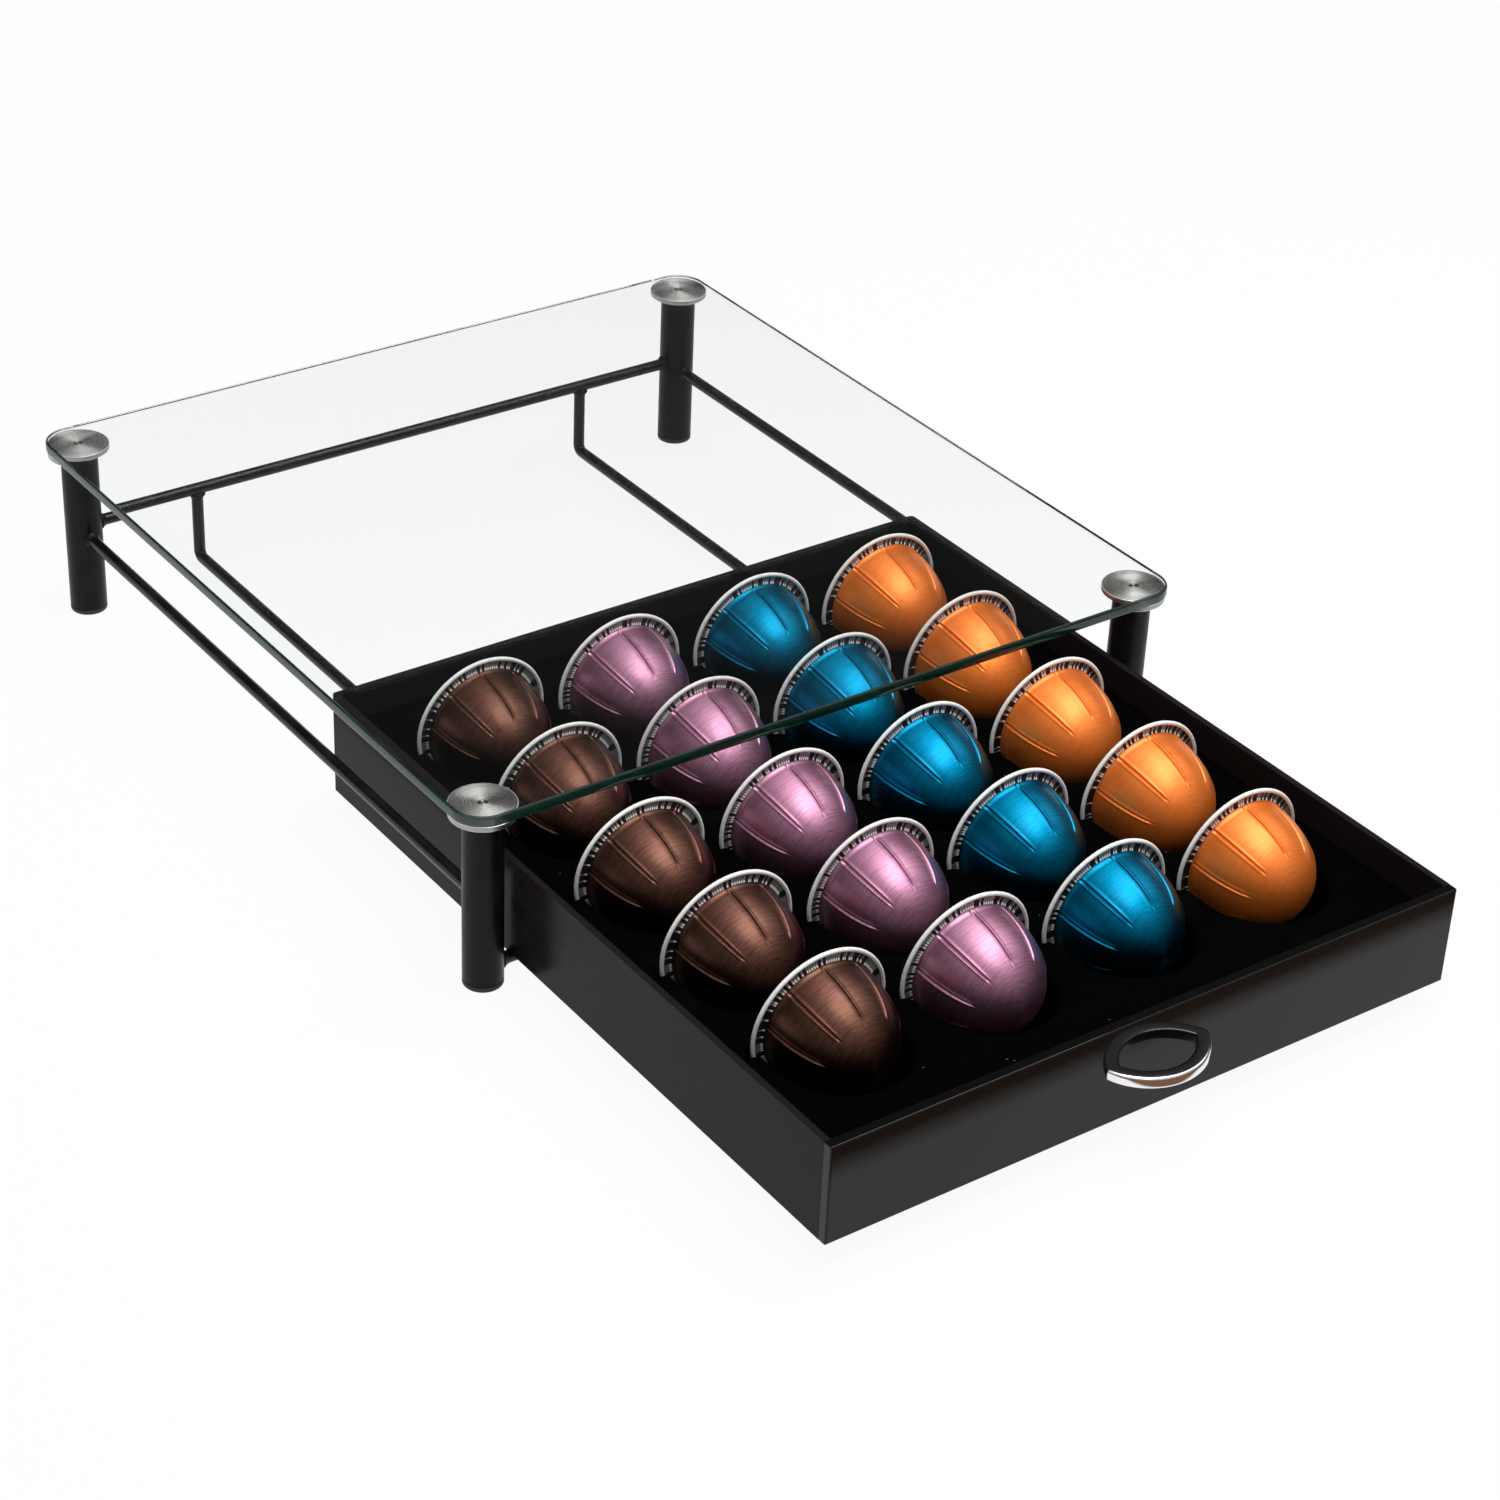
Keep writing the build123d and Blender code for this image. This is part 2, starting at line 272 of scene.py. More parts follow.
def glass_edge_material():
    """Ground edge: clear from inside the sheet, and deep green from outside. The deep green is
    the glass's own tint with painted shade in it, for the darkness that its long path through the
    sheet would give.
    """
    material, tree, shader = new_material("glass_edge", (0.97, 1.0, 0.99), 0.08)
    shader.inputs["Transmission Weight"].default_value = 1.0
    shader.inputs["IOR"].default_value = 1.5
    where = place(tree)
    ground = noise(tree, where, 700.0, 3.0)
    tree.links.new(spread(tree, ground, 0.3, 0.7, 0.05, 0.16), shader.inputs["Roughness"])

    deep = add(tree, "BsdfPrincipled", {"Roughness": 0.06}).outputs[0]
    body = deep.node
    # Painted shade: an opaque deep green on the edge, far darker than the glass's tint alone,
    # where the long path through the sheet would darken it.
    cloud = noise(tree, where, 55.0, 3.0)
    green = mix(tree, spread(tree, cloud, 0.3, 0.7), (0.002, 0.026, 0.017),
                (0.008, 0.053, 0.035))
    tree.links.new(green, body.inputs["Base Color"])
    backs = add(tree, "NewGeometry").outputs["Backfacing"]
    share = spread(tree, backs, 0.0, 1.0, EDGE_GREEN_OUTSIDE, EDGE_GREEN_INSIDE)
    both = add(tree, "MixShader", {0: share, 1: shader.outputs[0]})
    tree.links.new(deep, both.inputs[2])
    let_light_pass(tree, both.outputs[0], (0.8, 0.88, 0.85))
    return material


def spun_steel_material():
    """Faced steel: fine turning rings, bright and dark fans about the centre."""
    material, tree, shader = new_material("spun_steel", (0.6, 0.59, 0.57), 0.3, 1.0)
    shader.inputs["Anisotropic"].default_value = 0.96
    shader.inputs["Anisotropic Rotation"].default_value = 0.25
    tangent = add(tree, "Tangent", direction_type="RADIAL", axis="Z").outputs[0]
    tree.links.new(tangent, shader.inputs["Tangent"])
    where = place(tree)
    split = add(tree, "SeparateXYZ", {0: where})
    square = sums(tree, "ADD", sums(tree, "POWER", split.outputs[0], 2.0),
                  sums(tree, "POWER", split.outputs[1], 2.0))
    radius = sums(tree, "SQRT", square)
    rings = noise(tree, add(tree, "CombineXYZ", {0: radius}).outputs[0], 3500.0, 2.0, 0.7)
    tone = mix(tree, spread(tree, rings, 0.3, 0.7), (0.68, 0.67, 0.65), (1.0, 0.99, 0.97))
    tree.links.new(tone, shader.inputs["Base Color"])
    tree.links.new(spread(tree, rings, 0.3, 0.7, 0.2, 0.34), shader.inputs["Roughness"])
    bump(tree, shader, rings, 0.03, 0.7)
    return material


def satin_steel_material(name, brightest, roughness):
    """Steel with a satin finish, for a disc's broken edge and its side; the side's copy is
    darker, as painted shade.
    """
    steel = (brightest, 0.99 * brightest, 0.97 * brightest)
    material, tree, shader = new_material(name, steel, roughness, 1.0)
    scuff = noise(tree, place(tree, (1, 1, 6)), 1200.0, 3.0)
    worn = [0.78 * channel for channel in steel]
    tree.links.new(mix(tree, spread(tree, scuff, 0.35, 0.7), steel, worn),
                   shader.inputs["Base Color"])
    tree.links.new(spread(tree, scuff, 0.3, 0.7, roughness - 0.06, roughness + 0.1),
                   shader.inputs["Roughness"])
    bump(tree, shader, scuff, 0.01, 0.3)
    return material


def coated_metal_material(name, colour, roughness, grain_mm, shine=0.15):
    """Black powder coat: a fine orange-peel grain and slightly uneven gloss."""
    material, tree, shader = new_material(name, colour, roughness)
    shader.inputs["Specular IOR Level"].default_value = shine
    where = place(tree)
    cloud = noise(tree, where, 60.0, 4.0)
    wear = mix(tree, spread(tree, cloud, 0.35, 0.7), colour, [2.2 * c for c in colour])
    tree.links.new(wear, shader.inputs["Base Color"])
    gloss = spread(tree, cloud, 0.3, 0.7, roughness - 0.07, roughness + 0.09)
    tree.links.new(gloss, shader.inputs["Roughness"])
    grain = noise(tree, where, 1 / (grain_mm * MM), 2.0, 0.6)
    bump(tree, shader, grain, 0.05, 0.5)
    return material


def rubber_material():
    """Moulded foot: dull, with a mottled tooth."""
    material, tree, shader = new_material("foot_rubber", (0.012, 0.012, 0.012), 0.6)
    where = place(tree)
    tooth = noise(tree, where, 1500.0, 3.0)
    tone = mix(tree, spread(tree, tooth, 0.35, 0.65), (0.009, 0.009, 0.009), (0.03, 0.03, 0.03))
    tree.links.new(tone, shader.inputs["Base Color"])
    tree.links.new(spread(tree, tooth, 0.3, 0.7, 0.5, 0.75), shader.inputs["Roughness"])
    bump(tree, shader, tooth, 0.06, 0.5)
    return material


def drawer_material(name, base, shine, smoothest, dullest):
    """Black board: a soft skin with faint grain, fine wipe marks and dust."""
    material, tree, shader = new_material(name, base, smoothest)
    shader.inputs["Specular IOR Level"].default_value = shine
    where = place(tree)
    wipes = noise(tree, place(tree, (3, 3, 14)), 9.0, 5.0, 0.6)
    speck = noise(tree, where, 900.0, 1.0)
    dust = spread(tree, speck, 0.72, 0.78)
    tone = mix(tree, dust, base, [3.5 * channel for channel in base])
    tree.links.new(tone, shader.inputs["Base Color"])
    tree.links.new(spread(tree, wipes, 0.3, 0.75, smoothest, dullest), shader.inputs["Roughness"])
    skin = noise(tree, where, 420.0, 2.0, 0.4)
    bump(tree, shader, skin, 0.03, 0.25)
    return material


def insert_material():
    """Flocked sheet: deep black nap, brushed lighter in places, with lint."""
    material, tree, shader = new_material("flocked_black", (0.001, 0.001, 0.0011), 0.95)
    shader.inputs["Specular IOR Level"].default_value = 0.02
    where = place(tree)
    brushed = spread(tree, noise(tree, where, 26.0, 3.0), 0.62, 0.75, 0.0, 0.5)
    nap = noise(tree, where, 2600.0, 2.0, 0.7)
    lint_spot = add(tree, "TexVoronoi", {"Vector": where, "Scale": 95.0})
    tiny = spread(tree, lint_spot.outputs["Distance"], 0.055, 0.035)
    few = spread(tree, noise(tree, where, 70.0, 0.0), 0.52, 0.56)
    lint = sums(tree, "MULTIPLY", tiny, few)
    tone = mix(tree, sums(tree, "MULTIPLY", brushed, nap), (0.0006, 0.0006, 0.0007),
               (0.006, 0.0057, 0.006))
    tone = mix(tree, lint, tone, (0.05, 0.05, 0.05))
    tree.links.new(tone, shader.inputs["Base Color"])
    bump(tree, shader, nap, 0.25, 0.6)
    return material


def chrome_material():
    """Polished chrome with the faintest haze."""
    material, tree, shader = new_material("chrome", (0.86, 0.86, 0.87), 0.05, 1.0)
    haze = noise(tree, place(tree), 160.0, 4.0)
    tree.links.new(spread(tree, haze, 0.3, 0.75, 0.02, 0.1), shader.inputs["Roughness"])
    ripple = noise(tree, place(tree, (1, 1, 3)), 300.0, 1.0)
    bump(tree, shader, ripple, 0.01, 0.3)
    return material


def pod_metal_material(name, colour, deep, metallic):
    """Lacquered aluminium, drawn round its axis: streaks run round the dome."""
    material, tree, shader = new_material(name, colour, 0.3, metallic)
    shader.inputs["Anisotropic"].default_value = 0.5
    shader.inputs["Anisotropic Rotation"].default_value = 0.25
    tree.links.new(add(tree, "Tangent", direction_type="UV_MAP", uv_map="turn").outputs[0],
                   shader.inputs["Tangent"])
    turn_map = add(tree, "UVMap", uv_map="turn").outputs[0]
    streak_place = add(tree, "Mapping", {"Vector": turn_map, "Scale": (1.6, 15.0, 1)}).outputs[0]
    streaks = noise(tree, streak_place, 9.0, 4.0, 0.7)
    cloud = noise(tree, place(tree), 70.0, 3.0)
    tone = mix(tree, spread(tree, streaks, 0.25, 0.75), deep, colour)
    tree.links.new(tone, shader.inputs["Base Color"])
    uneven = sums(tree, "ADD", spread(tree, streaks, 0.3, 0.7, 0.0, 0.06),
                  spread(tree, cloud, 0.35, 0.7, 0.33, 0.39))
    tree.links.new(uneven, shader.inputs["Roughness"])
    shader.inputs["Coat Weight"].default_value = 0.06
    shader.inputs["Coat Roughness"].default_value = 0.2
    bump(tree, shader, streaks, 0.06, 0.6)
    return material


def pod_rim_material():
    """The rolled edge: pale lacquer, a little scuffed."""
    material, tree, shader = new_material("pod_rim", (0.92, 0.91, 0.89), 0.25)
    scuff = noise(tree, place(tree), 900.0, 4.0)
    tone = mix(tree, spread(tree, scuff, 0.4, 0.72), (0.95, 0.94, 0.92), (0.8, 0.79, 0.77))
    tree.links.new(tone, shader.inputs["Base Color"])
    tree.links.new(spread(tree, scuff, 0.3, 0.7, 0.26, 0.46), shader.inputs["Roughness"])
    bump(tree, shader, scuff, 0.02, 0.3)
    return material


def pod_flange_material(shift):
    """The flange: two tracks of radial bars, dark and bright, of uneven width."""
    material, tree, shader = new_material("pod_flange", (0.5, 0.49, 0.48), 0.3, 0.9)
    inner_v, outer_v = flange_span()
    split = add(tree, "SeparateXYZ", {0: add(tree, "UVMap", uv_map="turn").outputs[0]})
    out = spread(tree, split.outputs[1], inner_v, outer_v, 0.0, 1.0)
    wobble = noise(tree, add(tree, "CombineXYZ", {0: split.outputs[0], 2: shift}).outputs[0],
                   60.0, 1.0)
    turn = sums(tree, "MULTIPLY", split.outputs[0], float(FLANGE_BARS))
    place_in_cell = sums(tree, "ADD", turn, wobble)
    step = sums(tree, "FLOOR", place_in_cell)
    cell = add(tree, "CombineXYZ", {0: step, 2: shift}).outputs[0]
    pick = add(tree, "TexWhiteNoise", {"Vector": cell}, noise_dimensions="3D").outputs[0]
    gap = sums(tree, "GREATER_THAN", sums(tree, "FRACT", place_in_cell), FLANGE_GAP_FROM)
    dark = sums(tree, "MAXIMUM", sums(tree, "GREATER_THAN", pick, FLANGE_DARK_FROM), gap)
    by_dome = sums(tree, "GREATER_THAN", out, FLANGE_TICKS_FROM)
    bright = sums(tree, "MULTIPLY", by_dome, sums(tree, "SUBTRACT", 1.0, dark))
    tone = mix(tree, dark, (0.62, 0.6, 0.59), (0.006, 0.006, 0.006))
    tone = mix(tree, bright, tone, (0.9, 0.89, 0.87))
    tree.links.new(tone, shader.inputs["Base Color"])
    tree.links.new(spread(tree, dark, 0, 1, 0.22, 0.5), shader.inputs["Roughness"])
    plain = sums(tree, "MAXIMUM", dark, bright)
    tree.links.new(spread(tree, plain, 0, 1, 0.6, 0.0), shader.inputs["Metallic"])
    bump(tree, shader, pick, 0.08, 0.5)
    return material


def pod_lid_material():
    """The foil lid: silver, with a drumhead's faint creases."""
    material, tree, shader = new_material("pod_lid", (0.78, 0.78, 0.79), 0.4, 0.35)
    where = place(tree)
    crease = noise(tree, where, 60.0, 3.0, 0.5, 1.2)
    tone = mix(tree, spread(tree, crease, 0.3, 0.7), (0.68, 0.68, 0.69), (0.84, 0.84, 0.85))
    tree.links.new(tone, shader.inputs["Base Color"])
    tree.links.new(spread(tree, crease, 0.3, 0.7, 0.34, 0.5), shader.inputs["Roughness"])
    bump(tree, shader, crease, 0.12, 0.5)
    return material


def weld_material():
    """Weld beads under the same black coat, rougher than the wire."""
    return coated_metal_material("coated_weld", (0.005, 0.005, 0.005), 0.42, 0.5)


# ================================================================== mesh helpers
def piece(name, body, bm, materials, replaces=(), matrix=None):
    """Turn a bmesh, in metres, into a piece that rides on a body."""
    mesh = bpy.data.meshes.new(name)
    bm.to_mesh(mesh)
    bm.free()
    return dress(name, body, mesh, materials, replaces, matrix)


def dress(name, body, mesh, materials, replaces, matrix):
    """Show a mesh as a piece, with its materials, body and the nodes it is for."""
    if not mesh.materials:
        for material in materials:
            mesh.materials.append(material)
    mesh.shade_smooth()
    shown = bpy.data.objects.new(name, mesh)
    bpy.context.scene.collection.objects.link(shown)
    if matrix is not None:
        shown.matrix_world = matrix
    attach(shown, body)
    if replaces:
        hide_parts(*replaces)
    return shown


def ring(bm, points):
    """A closed row of vertices at points given in millimetres."""
    return [bm.verts.new(Vector(point) * MM) for point in points]


def bridge(bm, first, second, material=0):
    """Quads between two closed rows of the same length."""
    count = len(first)
    for i in range(count):
        j = (i + 1) % count
        face = bm.faces.new((first[i], first[j], second[j], second[i]))
        face.material_index = material


def arc_points(centre, radius, start, end, steps):
    """Points on an arc in a plane, from start to end degrees."""
    turns = [radians(start + (end - start) * k / steps) for k in range(steps + 1)]
    return [(centre[0] + radius * cos(t), centre[1] + radius * sin(t)) for t in turns]


def turned(bm, profile, steps, materials=None):
    """Turn a profile of (radius, height) about Z; a radius of 0 closes it."""
    before = None
    for k, (radius, height) in enumerate(profile):
        if radius == 0:
            row = ring(bm, [(0, 0, height)])
        else:
            turns = [2 * pi * i / steps for i in range(steps)]
            row = ring(bm, [(radius * cos(t), radius * sin(t), height) for t in turns])
        material = materials[k] if materials else 0
        if before is not None:
            if len(before) == 1 or len(row) == 1:
                centre, around = (before[0], row) if len(before) == 1 else (row[0], before)
                for i in range(steps):
                    j = (i + 1) % steps
                    bm.faces.new((centre, around[i], around[j])).material_index = material
            else:
                bridge(bm, before, row, material)
        before = row
    bmesh.ops.recalc_face_normals(bm, faces=bm.faces)


def rounded_corners(corners, steps):
    """A closed outline through (x, y, radius) corners, each turned into an arc."""
    outline = []
    for k, (x, y, radius) in enumerate(corners):
        before = Vector(corners[k - 1][:2])
        after = Vector(corners[(k + 1) % len(corners)][:2])
        corner = Vector((x, y))
        to_before = (before - corner).normalized()
        to_after = (after - corner).normalized()
        half = to_before.angle(to_after) / 2
        centre = corner + (to_before + to_after).normalized() * (radius / sin(half))
        start = (corner + to_before * (radius * cos(half) / sin(half)) - centre).normalized()
        end = (corner + to_after * (radius * cos(half) / sin(half)) - centre).normalized()
        for step in range(steps + 1):
            outline.append(tuple(centre + start.slerp(end, step / steps, start) * radius))
    return outline


# ================================================================== pods
def column_x(column):
    """X of a column of pods, counted from the left."""
    return (column - (COLUMNS - 1) / 2) * COLUMN_PITCH


def row_y(row):
    """Y of a row of rims, counted from the back."""
    return BACK_ROW_Y - row * ROW_PITCH


def dome_profile(steps):
    """(radius, along) from the flange to the tip."""
    power = 2 / DOME_FULLNESS
    points = []
    for k in range(steps + 1):
        angle = pi / 2 * k / steps
        along = DOME_START + DOME_LENGTH * sin(angle) ** power
        points.append((DOME_R * max(cos(angle), 0.0) ** power, along))
    points[-1] = (0, DOME_START + DOME_LENGTH)
    return points


DOME, RIM, FLANGE, LID = range(4)


def pod_profile():
    """(radius, along, material) from the middle of the lid to the tip of the dome."""
    lid = [(0, -0.75), (8, -0.73), (16, -0.66), (22, -0.55), (26, -0.42), (29.0, -0.38)]
    bead = arc_points((BEAD_R, 0), BEAD_HALF, 205, 515, 16)
    flange = [(29.1, FLANGE_S), (26.9, FLANGE_S), (26.5, 0.55), (25.9, 0.75)]
    profile = [(r, s, LID) for r, s in lid]
    profile += [(r, s, RIM) for r, s in bead]
    profile += [(r, s, FLANGE) for r, s in flange]
    profile += [(r, s, DOME) for r, s in dome_profile(30)]
    return profile


def pod_rows():
    """The profile's (radius, along, material, path length as the UV map has it)."""
    travelled, last = 0.0, None
    for radius, along, material in pod_profile():
        if last is not None:
            travelled += hypot(radius - last[0], along - last[1]) / PATH_UNIT
        last = (radius, along)
        yield radius, along, material, travelled


def flange_span():
    """The path lengths where the flange starts and ends."""
    span = [travelled for _, _, material, travelled in pod_rows() if material == FLANGE]
    return span[0], span[-1]


def smooth_step(value, low, high):
    """0 below low, 1 above high, and an even curve between."""
    t = min(max((value - low) / (high - low), 0.0), 1.0)
    return t * t * (3 - 2 * t)


def groove_at(offset, along):
    """How far a pressed groove lies below the dome, or with a minus, its shoulders above."""
    across = abs(offset) / GROOVE_HALF
    if across >= 1.6:
        return 0.0
    section = -1.0 * (1 - smooth_step(across, 0.0, 1.0)) + 0.3 * (
        smooth_step(across, 0.6, 1.05) - smooth_step(across, 1.05, 1.6))
    length = smooth_step(along, GROOVE_FROM, GROOVE_FROM + 1.5) * (
        1 - smooth_step(along, GROOVE_TO - 1.5, GROOVE_TO))
    return -section * length * GROOVE_DEPTH


def pod_mesh(name, materials):
    """One pod about +Z, its rim's middle at the origin and its dome up."""
    sector = 360 / GROOVES
    turns = [(sector * g + offset, offset) for g in range(GROOVES) for offset in GROOVE_OFFSETS]
    bm = bmesh.new()
    uv = bm.loops.layers.uv.new("turn")
    before, before_travelled = None, 0.0
    for radius, along, material, travelled in pod_rows():
        if radius == 0:
            row = ring(bm, [(0, 0, along)])
        else:
            points = []
            for degrees, offset in turns:
                inner = radius - (groove_at(offset, along) if material == DOME else 0)
                turn = radians(degrees)
                points.append((inner * cos(turn), inner * sin(turn), along))
            row = ring(bm, points)
        if before is not None:
            cover_pod_band(bm, uv, turns, before, row, before_travelled, travelled, material)
        before, before_travelled = row, travelled
    bmesh.ops.recalc_face_normals(bm, faces=bm.faces)
    mesh = bpy.data.meshes.new(name)
    bm.to_mesh(mesh)
    bm.free()
    for entry in materials:
        mesh.materials.append(entry)
    return mesh


def cover_pod_band(bm, uv, turns, lower, upper, low_v, high_v, material):
    """Faces between two rows of a pod, with the turn and the path length as UV."""
    count = len(turns)
    first = turns[0][0]
    for i in range(count):
        j = (i + 1) % count
        u0 = (turns[i][0] - first) / 360
        u1 = (turns[j][0] - first) / 360 if j else 1.0
        if len(lower) == 1:
            corners = ((lower[0], (u0 + u1) / 2, low_v), (upper[j], u1, high_v),
                       (upper[i], u0, high_v))
        elif len(upper) == 1:
            corners = ((lower[i], u0, low_v), (lower[j], u1, low_v),
                       (upper[0], (u0 + u1) / 2, high_v))
        else:
            corners = ((lower[i], u0, low_v), (lower[j], u1, low_v),
                       (upper[j], u1, high_v), (upper[i], u0, high_v))
        face = bm.faces.new([corner[0] for corner in corners])
        face.material_index = material
        for loop, corner in zip(face.loops, corners):
            loop[uv].uv = corner[1:]


def make_pods():
    """Twenty pods, each leaning in its pocket with its dome toward the front."""
    rim, lid = pod_rim_material(), pod_lid_material()
    twist = random.Random(POD_SEED)
    for column, (colour, finish) in enumerate(POD_COLOURS.items()):
        metal = pod_metal_material(f"pod_metal_{colour}", *finish)
        flange = pod_flange_material(float(column))
        mesh = pod_mesh(f"pod_{colour}", (metal, rim, flange, lid))
        for row in range(ROWS):
            stand = Matrix.Translation(Vector((column_x(column), row_y(row), POD_Z)) * MM)
            lean = Matrix.Rotation(radians(90 + POD_TILT), 4, "X")
            turn = POD_SPIN + twist.uniform(-POD_SPIN_SPREAD, POD_SPIN_SPREAD)
            spin = Matrix.Rotation(radians(turn), 4, "Z")
            dress(f"pod_{colour}_{row + 1}", "drawer", mesh, (),
                  (f"pods_{colour}",), stand @ lean @ spin)


# ================================================================== insert
def pocket_outline(x, y, grow):
    """Plan of a pocket grown outward: a rim's slot, and a rounded bowl ahead of it."""
    slot = SLOT_HALF + grow
    bowl = BOWL_HALF + grow
    back, step, tip = SLOT_BACK + grow, -SLOT_FRONT - grow, -BOWL_LENGTH - grow
    outer, inner = SLOT_CORNER_R + grow, STEP_CORNER_R - grow
    tip_r = bowl - BOWL_TIP_FLAT
    corners = [(-slot, back, outer), (-slot, step, outer), (-bowl, step, inner),
               (-bowl, tip, tip_r), (bowl, tip, tip_r), (bowl, step, inner),
               (slot, step, outer), (slot, back, outer)]
    return [(x + across, y + along) for across, along in rounded_corners(corners, 6)]


def pocket_rows():
    """A pocket's rows from its lip to its floor: (how far outside its plan, height)."""
    rows = []
    for k in range(6):
        turn = pi / 2 * k / 5
        rows.append((POCKET_LIP_R * (1 - sin(turn)), DECK_Z - POCKET_LIP_R * (1 - cos(turn))))
    return rows + [(0.0, 30.0), (-0.2, POCKET_BOTTOM_Z + 1.2), (-1.3, POCKET_BOTTOM_Z)]


def make_insert():
    """The formed sheet: a deck with rounded lips, walls and floors of twenty pockets."""
    low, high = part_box("pod_insert")
    left, front = low.x / MM, low.y / MM
    right, back = high.x / MM, high.y / MM
    bm = bmesh.new()
    edges = []

    def keep_edges(row):
        for i, vertex in enumerate(row):
            edges.append(bm.edges.new((vertex, row[(i + 1) % len(row)])))

    for column in range(COLUMNS):
        for row_number in range(ROWS):
            x, y = column_x(column), row_y(row_number)
            before = None
            for grow, z in pocket_rows():
                row = ring(bm, [(px, py, z) for px, py in pocket_outline(x, y, grow)])
                if before is None:
                    keep_edges(row)
                else:
                    bridge(bm, before, row)
                before = row
            bm.faces.new(before)

    before = None
    edge_rows = [(1.2, DECK_Z), (0.6, DECK_Z - 0.18), (0.18, DECK_Z - 0.6),
                 (0.0, DECK_Z - 1.2), (0.0, DECK_Z - INSERT_SKIRT)]
    for inset, z in edge_rows:
        corners = [(left + inset, front + inset, INSERT_CORNER_R),
                   (right - inset, front + inset, INSERT_CORNER_R),
                   (right - inset, back - inset, INSERT_CORNER_R),
                   (left + inset, back - inset, INSERT_CORNER_R)]
        row = ring(bm, [(px, py, z) for px, py in rounded_corners(corners, 5)])
        if before is None:
            keep_edges(row)
        else:
            bridge(bm, before, row)
        before = row
    bmesh.ops.triangle_fill(bm, use_beauty=True, edges=edges)
    bmesh.ops.recalc_face_normals(bm, faces=bm.faces)
    made = piece("insert_formed", "drawer", bm, (insert_material(),),
                 ("pod_insert",))
    made.data.set_sharp_from_angle(angle=radians(50))


# ================================================================== handle and discs
def make_handle():
    """The bow: a rounded band swept round its arc, both ends in the panel."""
    middle = (BOW_OUTER_R + BOW_INNER_R) / 2
    half_band = (BOW_OUTER_R - BOW_INNER_R) / 2
    half_height = BOW_HEIGHT / 2
    section = rounded_corners(
        [(-half_band, -half_height, BOW_ROUND), (half_band, -half_height, BOW_ROUND),
         (half_band, half_height, BOW_ROUND), (-half_band, half_height, BOW_ROUND)], 5)
    bm = bmesh.new()
    steps = 64
    before = first = None
    for k in range(steps + 1):
        turn = radians(-BOW_HALF_TURN + 2 * BOW_HALF_TURN * k / steps)
        row = ring(bm, [((middle + out) * sin(turn),
                         BOW_CENTRE_Y - (middle + out) * cos(turn),
                         BOW_Z + up) for out, up in section])
        if before is not None:
            bridge(bm, before, row)
        else:
            first = row
        before = row
    bm.faces.new(first)
    bm.faces.new(before)
    bmesh.ops.recalc_face_normals(bm, faces=bm.faces)
    piece("handle_band", "drawer", bm, (chrome_material(),), ("handle_bow",))


DISC_FACE, DISC_BREAK, DISC_SIDE = range(3)


def disc_finish(radius, depth):
    """The finish of a disc's surface at a radius and a depth below its top."""
    if radius > DISC_R - 0.01:
        return DISC_SIDE
    if radius > DISC_R - 2 * DISC_BREAK_R and depth < 0.4:
        return DISC_BREAK
    return DISC_FACE


def make_discs():
    """Four turned discs, each with a soft lower edge and a centre mark on its face."""
    # The side's copy of the steel is darker than the broken edge's, 0.42 against 0.95: painted
    # shade on the disc's side.
    finishes = (spun_steel_material(), satin_steel_material("satin_edge", 0.95, 0.4),
                satin_steel_material("satin_side_painted_shade", 0.42, 0.34))
    height = DISC_HIGH_Z - DISC_LOW_Z
    profile = [(0, 0), (9.0, 0)]
    profile += arc_points((DISC_R - DISC_UNDER_R, DISC_UNDER_R), DISC_UNDER_R, 270, 360, 4)
    profile += arc_points((DISC_R - DISC_BREAK_R, height - DISC_BREAK_R), DISC_BREAK_R, 0, 90, 4)
    profile += [(DISC_R - 0.6, height - 0.03), (DISC_R - 0.75, height), (10.0, height),
                (6.0, height), (2.0, height), (0.6, height - 0.08), (0, height - 0.1)]
    slots = [disc_finish(radius, height - rise) for radius, rise in profile]
    for name, spot in LEGS.items():
        bm = bmesh.new()
        turned(bm, profile, 96, slots)
        at = Matrix.Translation(Vector((*spot, DISC_LOW_Z)) * MM)
        made = piece(f"disc_turned_{name}", "stand", bm, finishes,
                     (f"disc_{name}",), at)
        made.data.set_sharp_from_angle(angle=radians(35))


def make_glass():
    """The top: two clear faces, and ground edges rounded over above and below."""
    low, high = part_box("glass_top")
    left, front, bottom = (value / MM for value in low)
    right, back, top = (value / MM for value in high)
    rows = []
    for inset, z in ((GLASS_EDGE_ROUND, bottom + GLASS_EDGE_ROUND),
                     (GLASS_EDGE_ROUND, top - GLASS_EDGE_ROUND)):
        start = 270 if z < (bottom + top) / 2 else 0
        rows += arc_points((-inset, z), GLASS_EDGE_ROUND, start, start + 90, 5)
    bm = bmesh.new()
    loops = []
    for out, z in rows:
        corners = [(left - out, front - out, GLASS_CORNER_R + out),
                   (right + out, front - out, GLASS_CORNER_R + out),
                   (right + out, back + out, GLASS_CORNER_R + out),
                   (left - out, back + out, GLASS_CORNER_R + out)]
        loops.append(ring(bm, [(x, y, z) for x, y in rounded_corners(corners, 16)]))
    for lower, upper in zip(loops, loops[1:]):
        bridge(bm, lower, upper, 1)
    for loop in (loops[0], loops[-1]):
        bm.faces.new(loop)
    bmesh.ops.recalc_face_normals(bm, faces=bm.faces)
    for edge in bm.edges:
        edge.smooth = len({face.material_index for face in edge.link_faces}) == 1
    return piece("glass_sheet", "stand", bm, (glass_material(), glass_edge_material()),
                 ("glass_top",))


